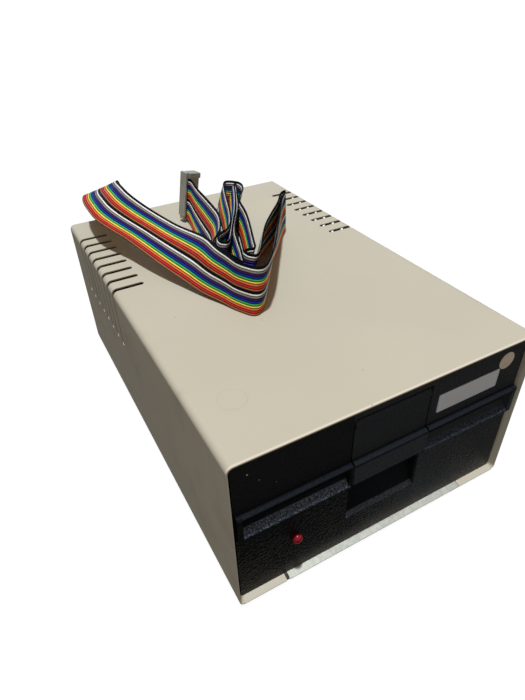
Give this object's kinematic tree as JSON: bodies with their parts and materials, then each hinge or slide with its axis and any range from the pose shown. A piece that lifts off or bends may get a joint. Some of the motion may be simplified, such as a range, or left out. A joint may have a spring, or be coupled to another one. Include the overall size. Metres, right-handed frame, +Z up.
{
  "type": "floppy disk drive",
  "caption": "Full-height disk drive in a sheet steel case, with a centre door, disk slot, spindle and head mechanism, and a rainbow ribbon lead folded on top.",
  "frame": {"origin": "on the floor under the middle of the drive, between its feet, without the free cable", "axes": "+X to the right seen from the front, +Y from the front bezel back to the rear panel, +Z up"},
  "size_m": [0.154, 0.2564, 0.1227],
  "materials": {
    "case_paint": "satin light beige enamel",
    "galvanised": "dull zinc plate",
    "bezel_black": "fine moulded texture",
    "plate_silver": "satin",
    "dot_tan": "matt paper label",
    "led_red": "clear red epoxy",
    "screw_steel": "zinc plated",
    "steel_bright": "ground",
    "cast_alu": "as cast",
    "rubber_black": "matt",
    "nylon_black": "satin",
    "nylon_white": "satin",
    "motor_steel": "dull plated",
    "brass": "turned",
    "ferrite": "lapped",
    "felt": "felt",
    "board_green": "solder resist",
    "chip_black": "moulded",
    "cap_blue": "sleeve",
    "resistor_tan": "lacquer",
    "idc_grey": "satin",
    "ribbon_rainbow": "vinyl insulation in repeating colours",
    "paper_white": "printed card"
  },
  "bodies": {
    "drive_frame": {"outer_case": "case_paint", "base_tray": "galvanised", "rear_panel": "galvanised", "case_screws": "screw_steel", "rear_panel_screws": "screw_steel", "rubber_feet": "rubber_black", "front_bezel": "bezel_black", "nameplate": "plate_silver", "dot_sticker": "dot_tan", "indicator_led": "led_red", "led_legs": "steel_bright", "door_hinge_pin": "steel_bright", "chassis": "cast_alu", "bezel_screws": "screw_steel", "chassis_screws": "screw_steel", "disk_guide_left": "nylon_black", "disk_guide_right": "nylon_black", "spindle_bearings": "steel_bright", "drive_motor": "motor_steel", "drive_belt": "rubber_black", "guide_rods": "steel_bright", "rod_supports": "cast_alu", "stepper_motor": "motor_steel", "motor_screws": "screw_steel", "clamp_pivot_pins": "steel_bright", "logic_board": "board_green", "board_standoffs": "brass", "board_screws": "screw_steel", "logic_chips": "chip_black", "capacitors": "cap_blue", "resistors": "resistor_tan", "board_header": "nylon_black", "board_plug": "idc_grey", "track_zero_switch": "nylon_black", "write_protect_switch": "nylon_black", "index_sensor": "nylon_black", "cable_clamp": "nylon_black", "cable_clamp_screws": "screw_steel", "ribbon_inside": "ribbon_rainbow", "ribbon_rise": "ribbon_rainbow", "ribbon_twist": "ribbon_rainbow", "ribbon_run": "ribbon_rainbow", "connector_body": "idc_grey", "connector_cover": "idc_grey"},
    "door_body": {"door": "bezel_black"},
    "clamp_arm_body": {"clamp_arm": "cast_alu"},
    "clamp_cone_body": {"clamp_cone": "nylon_white", "clamp_clip": "steel_bright"},
    "spindle_body": {"spindle_hub": "steel_bright", "flywheel": "cast_alu", "strobe_disc": "paper_white"},
    "motor_rotor": {"motor_pulley": "brass"},
    "carriage_body": {"head_carriage": "nylon_black", "read_write_head": "ferrite", "steel_band": "steel_bright", "pad_arm_pin": "steel_bright"},
    "capstan_body": {"capstan": "brass", "band_wrap": "steel_bright"},
    "pad_arm_body": {"pad_arm": "nylon_white", "pressure_pad": "felt"}
  },
  "joints": [
    {"name": "door_hinge", "type": "hinge", "parent": "drive_frame", "child": "door_body", "pos_m": [0, -0.11305, 0.081], "axis": [-1, 0, 0], "range_deg": [0, 75]},
    {"name": "clamp_arm_hinge", "type": "hinge", "parent": "drive_frame", "child": "clamp_arm_body", "pos_m": [0, 0.03175, 0.0645], "axis": [-1, 0, 0], "range_deg": [0, 8.5]},
    {"name": "clamp_cone_spin", "type": "hinge", "parent": "clamp_arm_body", "child": "clamp_cone_body", "pos_m": [0, -0.04025, 0.0625], "axis": [0, 0, 1], "continuous": true},
    {"name": "spindle_spin", "type": "hinge", "parent": "drive_frame", "child": "spindle_body", "pos_m": [0, -0.04025, 0.0325], "axis": [0, 0, 1], "continuous": true},
    {"name": "motor_spin", "type": "hinge", "parent": "drive_frame", "child": "motor_rotor", "pos_m": [-0.048, 0.05975, 0.0325], "axis": [0, 0, 1], "continuous": true},
    {"name": "head_slide", "type": "slide", "parent": "drive_frame", "child": "carriage_body", "axis": [0, -1, 0], "range_m": [0, 0.0206]},
    {"name": "capstan_turn", "type": "hinge", "parent": "drive_frame", "child": "capstan_body", "pos_m": [0.033, 0.03175, 0.0425], "axis": [0, 0, 1], "range_deg": [0, 140]},
    {"name": "pad_arm_hinge", "type": "hinge", "parent": "carriage_body", "child": "pad_arm_body", "pos_m": [0, 0.05175, 0.0625], "axis": [-1, 0, 0], "range_deg": [0, 8.5]}
  ],
  "couplings": [
    {"joint": "clamp_arm_hinge", "follows": "door_hinge", "ratio": 0.1067},
    {"joint": "pad_arm_hinge", "follows": "door_hinge", "ratio": 0.1067},
    {"joint": "clamp_cone_spin", "follows": "spindle_spin", "ratio": 1},
    {"joint": "motor_spin", "follows": "spindle_spin", "ratio": 4.268},
    {"joint": "capstan_turn", "follows": "head_slide", "rad_per_m": 116.96}
  ]
}
